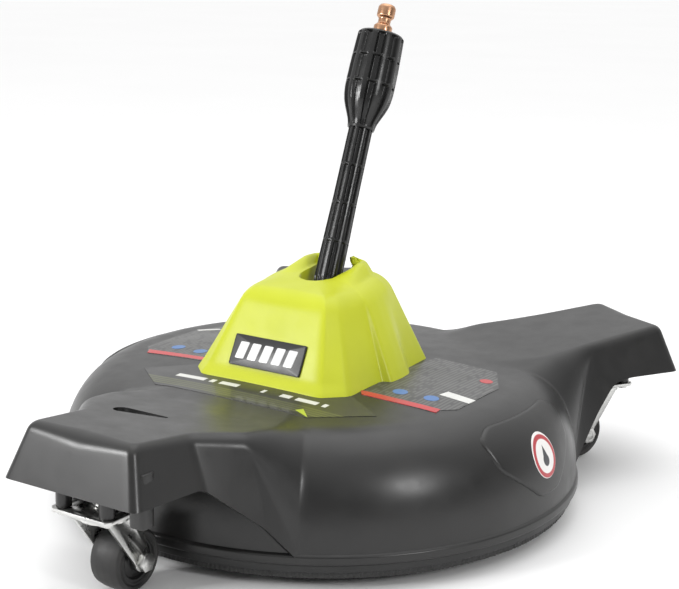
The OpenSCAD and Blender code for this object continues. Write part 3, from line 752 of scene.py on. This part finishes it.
def make_labels():
    mesh = tidy(new_mesh("front_label", *film(FRONT_LABEL, 0.24)), sharp=60)
    place(mesh, "deck", front_film(), ["label_front"])
    mirrored = [(-x, y) for x, y in SIDE_LABEL]
    mesh = tidy(new_mesh("side_label_films", *joined([film(SIDE_LABEL, 0.24), film(mirrored, 0.24)])),
                sharp=60)
    place(mesh, "deck", side_film(), ["side_labels"])
    lime = [(45.0, -96.0), (48.0, -91.8), (57.5, -101.4)]
    marks = {
        "label_red_bands": ((0.50, 0.03, 0.035), [
            [(57, -42.5), (112.5, -40.5), (113, -46.8), (62, -48.8)],
            [(-62, -46), (-58, -40.5), (-113, -40.5), (-109, -47.5)],
            disc_outline(108, 27.6, 4.2)]),
        "label_blue_discs": ((0.05, 0.16, 0.42), [
            disc_outline(78, -29.5, 4.8), disc_outline(98.6, -27, 4.8),
            disc_outline(-78, -29.5, 4.8), disc_outline(-98.6, -27, 4.8)]),
        "label_white_panels": ((0.72, 0.72, 0.70), [
            [(99, -17.5), (120.5, -19.5), (121, -11.5), (100.5, -9)],
            [(-120.5, 21), (-117, 19), (-105, 29), (-108, 31)]]),
        "label_lime_corner": ((0.45, 0.55, 0.05), [lime]),
    }
    for name, (colour, outlines) in marks.items():
        parts = [film(o, 0.36, 2.0) for o in outlines]
        mesh = tidy(new_mesh(name, *joined(parts)), sharp=60)
        place(mesh, "deck", plain_film(name, colour))


# ----------------------------------------------------------------------- skirt
def make_skirt(ring_material, bristle_material):
    """The black ring under the rim and, below it, bristles: a ring whose faces and lower
    edge waver from tuft to tuft."""
    profile = rounded_outline([(148.3, 14.1), (162, 14.1), (162, 11.6), (168.9, 11.6),
                               (168.9, 16.4), (148.3, 16.4)], 0.7, 3)
    mesh = tidy(new_mesh("skirt_holder", *turned(profile, 240)))
    place(mesh, "deck", ring_material, ["skirt_ring"])
    steps = 1440
    a = np.linspace(0, TURN, steps, endpoint=False)
    random = np.random.default_rng(7)
    tuft = 0.22 * np.cos(a * 360) + 0.1 * random.standard_normal(steps)
    fringe = 0.35 * random.random(steps)
    rows = [(163.9, 14.9, -1, 0), (163.9, 10.5, -1, 0), (163.8, 7.4, -1, 1), (165.2, 7.2, 0, 1),
            (166.6, 7.4, 1, 1), (166.5, 10.5, 1, 0), (166.5, 14.9, 1, 0)]
    r = np.stack([radius + way * tuft for radius, _, way, _ in rows], 1)
    z = np.stack([height + low * fringe for _, height, _, low in rows], 1)
    points = np.stack([r * np.cos(a)[:, None], r * np.sin(a)[:, None], z], -1)
    mesh = tidy(new_mesh("bristles", points, grid_faces(steps, len(rows), True, True)), sharp=70)
    place(mesh, "deck", bristle_material, ["skirt_bristles"])


# ----------------------------------------------------------------------- tower
FOOT_Z = 88.5
# Stations from the rear edge of the wand slot round to the front's middle:
# foot x, y; top corner x, y, z; slot lip x, y, z
TOWER = np.array([
    (12.4, 49.5, 12.4, 24.0, 148.5, 12.4, 20.0, 150.5),
    (53.0, 49.5, 33.5, 25.0, 146.5, 12.4, 17.0, 150.5),
    (56.3, 18.0, 37.5, 14.5, 146.5, 12.4, 11.0, 150.0),
    (63.6, 7.0, 38.8, 5.0, 145.0, 12.4, 5.0, 149.2),
    (65.0, -4.4, 39.6, -4.0, 143.8, 12.4, 0.0, 148.6),
    (64.6, -16.6, 39.4, -12.0, 142.6, 12.4, -5.5, 147.8),
    (58.0, -20.5, 38.6, -15.0, 142.4, 11.9, -8.5, 147.4),
    (58.0, -57.0, 34.0, -34.0, 142.4, 8.4, -14.8, 146.9),
    (43.6, -69.2, 30.0, -43.0, 142.0, 5.2, -17.2, 146.6),
    (0.0, -69.2, 0.0, -43.0, 142.0, 0.0, -18.4, 146.4)])
FLARE = np.array([0, 0, 0, 0, 0, 0, 0, 0.5, 2.0, 2.0])


def tower_surface():
    """The cover's skin. Rows run from the foot, out over a small flare at the front, up
    the face, round the top corner, over the ridge beside the slot and down into the slot."""
    ease = [0, 0.16, 0.2, 0.3, 0.3, 0.25, 0.3, 0.16, 0.16, 0]
    straight = [6, 7, 3, 3, 3, 3, 8, 6, 10]
    half = eased(np.column_stack([TOWER, FLARE]), ease, straight, 6)
    other = half[::-1].copy()
    other[:, [0, 2, 5]] *= -1
    s = np.concatenate([half, other[1:]])
    foot = np.column_stack([s[:, :2], np.full(len(s), FOOT_Z)])
    corner, lip, flare = s[:, 2:5], s[:, 5:8], s[:, 8]
    out = foot[:, :2] - corner[:, :2]
    out = out / np.linalg.norm(out, axis=1, keepdims=True)

    def up_face(z):
        share = ((z - FOOT_Z) / (corner[:, 2] - FOOT_Z))[:, None]
        return foot + (corner - foot) * share

    rows = []
    for z in (85.5, 88.5, 90.0, 91.5, 93.0, 94.5, 96.0, 97.5):
        p = up_face(z)
        p[:, :2] += out * (flare * (1 - smooth_step(np.array(z), 88.0, 96.0)))[:, None]
        p[:, 2] = z
        rows.append(p)
    turn_in = 10.0
    down = foot - corner
    end = corner + down / np.linalg.norm(down, axis=1, keepdims=True) * turn_in
    back = lip - corner
    begin = corner + back / np.linalg.norm(back, axis=1, keepdims=True) * turn_in * 0.9
    start = rows[-1]
    for t in np.linspace(0, 1, 13)[1:]:
        rows.append(start * (1 - t) + end * t)
    for a in np.linspace(0, math.pi / 2, 11)[1:]:
        k = 0.9
        rows.append(corner + (begin - corner) * (1 - math.cos(a) ** k if a < 1.57 else 1.0)
                    + (end - corner) * (1 - math.sin(a) ** k))
    ridge = 6.2 * smooth_step(lip[:, 1], -19.0, 14.0)
    edge = lip + (begin - lip) / np.linalg.norm(begin - lip, axis=1, keepdims=True) * 1.2
    for t in np.linspace(0, 1, 15)[1:]:
        p = begin * (1 - t) + edge * t
        p[:, 2] += ridge * math.sin(math.pi * t) ** 1.2
        rows.append(p)
    rows.append(lip + (edge - lip) * 0.3 - np.array([0, 0, 0.25]))
    rows.append(lip - np.array([0, 0, 1.3]))
    floor = lip.copy()
    floor[:, 2] = 119.5
    last = np.abs(lip[:, 1] - 20.0) < 1e-6
    floor[last, 1] = 36.0
    for t in np.linspace(0, 1, 7)[1:]:
        rows.append((lip - np.array([0, 0, 1.3])) * (1 - t) + floor * t)
    points = np.stack(rows, 1)
    return points, grid_faces(*points.shape[:2])


def rear_panel():
    """The flat stretch of the cover below the slot at the rear."""
    x = np.linspace(-12.4, 12.4, 9)
    z = np.array([85.5, 90, 100, 110, 116, 118.3, 119.0])
    y = 49.5 - (z - FOOT_Z) * (25.5 / 58.5)
    grid_x, grid_z = np.meshgrid(x, z, indexing="ij")
    grid_y = np.broadcast_to(y[None, :], grid_x.shape)
    points = np.stack([grid_x, grid_y, grid_z], -1)
    return points, grid_faces(*points.shape[:2])


def make_tower(material):
    points, faces = tower_surface()
    back, back_faces = rear_panel()
    middle = (0, 0, 100)
    points, faces = joined([(points, facing_out(points, faces, middle)),
                            (back, facing_out(back, back_faces, middle))])
    mesh = tidy(new_mesh("tower_moulding", points, faces), outward=False, sharp=50)
    tower = place(mesh, "deck", material, ["tower_cover"])
    skin = tower.modifiers.new("wall", "SOLIDIFY")
    skin.thickness, skin.offset = 2.2 * MM, -1
    applied(tower)
    tower.data.shade_smooth()
    tower.data.set_sharp_from_angle(angle=math.radians(50))
    return tower


FACE_SLOPE = (69.2 - 43.0) / (142.0 - FOOT_Z)


def on_face(points):
    """Points given as (x, off the face, height up it), put on the tower's front face."""
    a = math.atan(FACE_SLOPE)
    p = points.reshape(-1, 3)
    low = np.array([0, -69.2 + FACE_SLOPE * 8.0, FOOT_Z + 8.0])
    up = np.array([0, math.sin(a), math.cos(a)])
    out = np.array([0, -math.cos(a), math.sin(a)])
    return low + p[:, :1] * np.array([1.0, 0, 0]) + p[:, 1:2] * out + p[:, 2:] * up


def plaque(x0, x1, z0, z1, lift, depth, radius, slant=0.0):
    """A small plate with rounded corners, rounded front edges and an optional slant."""
    ring = rounded_outline([(x0, z0), (x1, z0), (x1 + slant, z1), (x0 + slant, z1)], radius, 4)
    middle = ring.mean(0)
    size = min(x1 - x0, z1 - z0) / 2
    soft = min(0.35, depth * 0.45)
    steps = [(0, lift + depth), (1 - soft / size, lift + depth), (1 - soft * 0.3 / size,
             lift + depth - soft * 0.3), (1, lift + depth - soft), (1, lift), (0, lift)]
    points = np.stack([np.column_stack([
        middle[0] + (ring[:, 0] - middle[0]) * k, np.full(len(ring), d),
        middle[1] + (ring[:, 1] - middle[1]) * k]) for k, d in steps], 1)
    return on_face(points).reshape(points.shape), grid_faces(*points.shape[:2], close_rows=True)


def make_badge(black, white):
    """A black plate with five plain slanted bars on it."""
    plate = plaque(-27, 27, 0, 20, 0.05, 1.2, 1.2)
    mesh = tidy(new_mesh("badge", *plate))
    place(mesh, "deck", black, ["badge_plate"])
    bars = [plaque(x, x + 6.6, 4.5, 15.5, 1.1, 0.3, 0.9, 2.0) for x in (-23.4, -14.2, -5.0, 4.2, 13.4)]
    mesh = tidy(new_mesh("badge_bars", *joined(bars)))
    place(mesh, "deck", white)


# ------------------------------------------------------------------------ wand
RIBS = 10


def ribbed(s, envelope, depth, rings, ring_half, caps=()):
    """A ribbed sleeve round the wand's line: the radius is the envelope less a depth
    between ribs, where a rib is a softened square wave round the sleeve; rings fill the
    gaps between ribs at some heights."""
    steps = RIBS * 16
    a = np.linspace(0, TURN, steps, endpoint=False)
    wave = np.cos(RIBS * a + 0.4)
    rib = 0.5 + 0.5 * np.tanh(4.5 * (wave - 0.05)) / math.tanh(4.5)
    fill = np.zeros_like(s)
    for ring in rings:
        fill = np.maximum(fill, 1 - smooth_step(np.abs(s - ring), ring_half * 0.6, ring_half * 1.3))
    for low, high in caps:
        fill = np.maximum(fill, smooth_step(s, low - 0.4, low) * (1 - smooth_step(s, high, high + 0.4)))
    cut = depth[None, :] * (1 - rib)[:, None] * (1 - fill)[None, :]
    r = envelope[None, :] - cut
    return np.stack([r * np.cos(a)[:, None], r * np.sin(a)[:, None],
                     np.broadcast_to(s[None, :], r.shape)], -1)


def with_bore(points, bore):
    """Closes a sleeve with flat ends and a round bore along it."""
    a = np.arctan2(points[:, 0, 1], points[:, 0, 0])
    ends = []
    for s in (points[0, -1, 2], points[0, 0, 2]):
        ends.append(np.stack([bore * np.cos(a), bore * np.sin(a), np.full(len(a), s)], -1)[:, None])
    full = np.concatenate([points, ends[0], ends[1]], 1)
    return full, grid_faces(*full.shape[:2], True, True)


def fine_steps(low, high, count, marks, half):
    """Heights evenly spread, with extra ones close to each ring."""
    extra = np.concatenate([m + half * np.linspace(-1.5, 1.5, 9) for m in marks]) if len(marks) else []
    s = np.unique(np.round(np.concatenate([np.linspace(low, high, count), extra]), 3))
    return s[(s >= low) & (s <= high)]


SLEEVE_RINGS = (49.5, 75.0, 101.0)
GRIP_RINGS = (156.5, 174.3)


def make_wand(material):
    s = fine_steps(19.0, 126.0, 50, SLEEVE_RINGS, 1.0)
    envelope = np.interp(s, [19, 24, 40, 78, 126], [8.5, 9.0, 8.9, 8.2, 7.9])
    points = ribbed(s, envelope, np.full_like(s, 1.8), SLEEVE_RINGS, 0.8, [(18, 21)])
    full, faces = with_bore(points, 6.02)
    mesh = tidy(new_mesh("wand_barrel", wand_frame(full), faces), sharp=60)
    place(mesh, "wand", material, ["wand_sleeve"])
    s = fine_steps(126.0, 191.0, 60, (126.6,) + GRIP_RINGS, 1.0)
    envelope = np.interp(s, [126, 127.5, 128, 131, 135, 139, 143, 147, 152, 159, 168, 180, 189.6,
                             190.6, 191],
                         [8.9, 9.3, 9.2, 9.9, 11.6, 13.4, 14.9, 15.8, 16.35, 16.4, 16.3, 15.9,
                          15.5, 15.2, 14.4])
    depth = np.interp(s, [126, 131, 144, 191], [1.4, 2.0, 3.2, 3.0])
    points = ribbed(s, envelope, depth, GRIP_RINGS, 0.8, [(120, 127.6), (189.2, 192)])
    full, faces = with_bore(points, 6.02)
    mesh = tidy(new_mesh("wand_handle", wand_frame(full), faces), sharp=60)
    place(mesh, "wand", material, ["wand_grip"])


def make_plug(material):
    """The quick-connect plug: a collar, a deep groove and a rounded nose round a waterway."""
    profile = [(2.5, 0), (6.25, 0), (6.25, 4.6), (4.2, 6.6), (4.2, 9.9), (5.95, 11.4),
               (5.95, 17.5), (4.7, 19.4), (2.5, 19.4)]
    ring = rounded_outline(profile, 0.7, 4)
    points, faces = turned(ring, 64)
    points = points + np.array([0, 0, 192.02])
    mesh = tidy(new_mesh("plug", wand_frame(points), faces), sharp=60)
    place(mesh, "wand", material, ["inlet_plug"])


# --------------------------------------------------------------------- casters
TRAIL = 16.0
WHEEL_R = 19.0
CASTERS = {"front": (-90.0, 90.0), "right": (57.0, -114.0), "left": (123.0, -60.0)}


def on_axle(points, name):
    """Points given about a wheel's own axle (Z along it), put at that caster's wheel."""
    angle, trail = CASTERS[name]
    p = points.reshape(-1, 3)
    local = np.stack([TRAIL + p[:, 0], -p[:, 2], WHEEL_R + p[:, 1]], -1)
    out = rotated(local, trail)
    out[:, :2] += CASTER_R * np.array([math.cos(math.radians(angle)), math.sin(math.radians(angle))])
    return out


def tyre_profile():
    """Half a tyre's section mirrored: a flat side with a step, a rounded shoulder and a
    slightly crowned tread."""
    half = rounded_outline([(13.0, 9.9), (14.6, 9.9), (14.9, 10.4), (16.2, 11.0), (17.9, 9.4),
                            (18.75, 5.0), (18.98, 0.0)], 0.8, 4, closed=False)
    other = half[::-1][1:] * np.array([1, -1])
    return np.concatenate([half, other])


def hub_profile():
    """A wheel centre with a dished web between its rim and its sleeve."""
    half = rounded_outline([(3.05, 11.3), (6.0, 11.3), (6.2, 8.4), (10.6, 7.4), (11.2, 9.6),
                            (13.0, 9.6)], 0.5, 4, closed=False)
    return np.concatenate([half, half[::-1] * np.array([1, -1])])


def make_wheels(rubber, plastic):
    for name in CASTERS:
        points, faces = turned(tyre_profile(), 96)
        mesh = tidy(new_mesh("wheel_tyre_" + name, on_axle(points, name), faces), sharp=60)
        place(mesh, "wheel_" + name, rubber, ["tyre_" + name])
        points, faces = turned(hub_profile(), 72)
        mesh = tidy(new_mesh("wheel_centre_" + name, on_axle(points, name), faces), sharp=60)
        place(mesh, "wheel_" + name, plastic, ["hub_" + name])


# --------------------------------------------------- CAD nodes with soft edges
def softened(node, body, material, width):
    """A copy of a CAD node with its flat faces joined and its edges rounded."""
    mesh = frame["nodes"][node].data.copy()
    mesh.name = node + "_soft"
    bm = bmesh.new()
    bm.from_mesh(mesh)
    bmesh.ops.remove_doubles(bm, verts=bm.verts, dist=2e-6)
    bmesh.ops.dissolve_limit(bm, angle_limit=math.radians(1), verts=bm.verts, edges=bm.edges)
    bm.to_mesh(mesh)
    bm.free()
    mesh.materials.clear()
    for attribute in ("custom_normal",):
        if attribute in mesh.attributes:
            mesh.attributes.remove(mesh.attributes[attribute])
    mesh.shade_smooth()
    piece = place(mesh, body, material, [node])
    edge = piece.modifiers.new("soft_edges", "BEVEL")
    edge.width, edge.segments = width * MM, 2
    edge.limit_method, edge.angle_limit = "ANGLE", math.radians(38)
    edge.use_clamp_overlap, edge.harden_normals = True, True
    applied(piece)
    piece.data.set_sharp_from_angle(angle=math.radians(50))
    return piece


def make_metalwork(zinc, brass, steel, rubber):
    finishes = {"zinc": zinc, "brass": brass, "steel": steel, "seal_rubber": rubber}
    slots = {s["node"]: s["material_slot"] for s in frame["record"]["subparts"]}
    stood_for = {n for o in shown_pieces() for n in o.get("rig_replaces", [])}
    for body, members in frame["record"]["behaviour"]["bodies"].items():
        for node in members:
            if node in stood_for or slots[node] not in finishes:
                continue
            small = node.startswith(("balls", "bearing_circlip"))
            hidden = ("lance_tube", "upper_bearing", "lower_bearing")
            if small or slots[node] == "seal_rubber" or node in hidden:
                data = frame["nodes"][node].data
                data.materials.clear()
                data.materials.append(finishes[slots[node]])
            else:
                softened(node, body, finishes[slots[node]], 0.25)


# ----------------------------------------------------------------- floor, light
def make_floor():
    """A wide plain floor: a flat square grid far larger than the view."""
    x = np.linspace(-40000, 40000, 33)
    gx, gy = np.meshgrid(x, x, indexing="ij")
    gz = np.zeros_like(gx)
    mesh = new_mesh("floor", np.stack([gx, gy, gz], -1), grid_faces(33, 33))
    mesh.shade_smooth()
    floor = bpy.data.objects.new("floor", mesh)
    bpy.context.scene.collection.objects.link(floor)
    f = Finish("pale_floor", (0.9, 0.9, 0.9), 0.9, specular=0.0)
    f.clouded((0.895, 0.895, 0.895), (0.905, 0.905, 0.905), 2)
    floor.data.materials.append(f.material)
    return floor


def make_light(name, place_at, aim, width, height, power):
    data = bpy.data.lights.new(name, "AREA")
    data.shape, data.size, data.size_y = "RECTANGLE", width, height
    data.energy = power
    light = bpy.data.objects.new(name, data)
    light.location = Vector(place_at)
    light.rotation_euler = (Vector(aim) - Vector(place_at)).to_track_quat("-Z", "Y").to_euler()
    bpy.context.scene.collection.objects.link(light)
    return light


def make_lights():
    bpy.context.scene.view_settings.view_transform = "Standard"
    world = bpy.data.worlds.new("studio")
    world.use_nodes = True
    nodes, links = world.node_tree.nodes, world.node_tree.links
    nodes["Background"].inputs["Color"].default_value = (1, 1, 1, 1)
    # a bright side behind the cleaner and a bright ceiling, with a dimmer room in front
    where, total = nodes.new("ShaderNodeTexCoord"), nodes.new("ShaderNodeMath")
    for number, (direction, ramp) in enumerate((((-0.54, 0.84, 0.0), (-0.3, 0.6, 0.28, 0.85)),
                                                ((0.0, 0.0, 1.0), (0.35, 1.0, 0.0, 1.1)))):
        along, strength = nodes.new("ShaderNodeVectorMath"), nodes.new("ShaderNodeMapRange")
        along.operation = "DOT_PRODUCT"
        along.inputs[1].default_value = direction
        for name, value in zip(("From Min", "From Max", "To Min", "To Max"), ramp):
            strength.inputs[name].default_value = value
        links.new(where.outputs["Generated"], along.inputs[0])
        links.new(along.outputs["Value"], strength.inputs["Value"])
        links.new(strength.outputs["Result"], total.inputs[number])
    links.new(total.outputs["Value"], nodes["Background"].inputs["Strength"])
    bpy.context.scene.world = world
    make_light("overhead", (0.1, 0.3, 1.5), (0, 0, 0.05), 1.2, 1.2, 3)
    make_light("left_front", (-0.75, -1.25, 0.62), (0, -0.2, 0.08), 0.4, 0.4, 15)
    make_light("right_side", (1.3, -0.4, 0.66), (0.05, -0.15, 0.06), 0.25, 0.3, 5)


def make_camera():
    data = bpy.data.cameras.new("camera")
    data.sensor_fit, data.sensor_width = "HORIZONTAL", 36.0
    data.lens = LENS
    data.clip_start, data.clip_end = 0.05, 40
    camera = bpy.data.objects.new("camera", data)
    turn = Matrix((EYE_RIGHT, EYE_UP, EYE_RIGHT.cross(EYE_UP))).transposed()
    camera.matrix_world = Matrix.Translation(EYE) @ turn.to_4x4()
    bpy.context.scene.collection.objects.link(camera)
    bpy.context.scene.camera = camera


def main():
    shell = shell_plastic()
    black = black_plastic("moulded_black", 0.012, 0.35, 0.5)
    gloss = black_plastic("wand_plastic", 0.008, 0.22, 0.34)
    white = plain_film("badge_white", (0.8, 0.8, 0.8))
    make_deck(shell)
    make_bell(shell)
    make_wing_posts(shell)
    make_side_pads(shell)
    make_stickers()
    make_labels()
    make_skirt(black, bristle_nylon())
    make_tower(lime_plastic())
    make_badge(black_plastic("badge_plastic", 0.012, 0.3, 0.4), white)
    make_wand(gloss)
    make_plug(metal("plug_brass", (0.48, 0.26, 0.15), (0.62, 0.36, 0.22), 0.18, 0.34))
    make_wheels(tyre_rubber(), black)
    make_metalwork(metal("zinc_plate", (0.52, 0.52, 0.51), (0.70, 0.70, 0.68), 0.22, 0.42),
                   metal("machined_brass", (0.55, 0.38, 0.16), (0.72, 0.53, 0.26), 0.2, 0.36),
                   metal("turned_steel", (0.42, 0.42, 0.43), (0.58, 0.58, 0.59), 0.24, 0.4),
                   black_plastic("seal_rubber", 0.012, 0.5, 0.65))
    make_floor()
    make_lights()
    make_camera()


main()
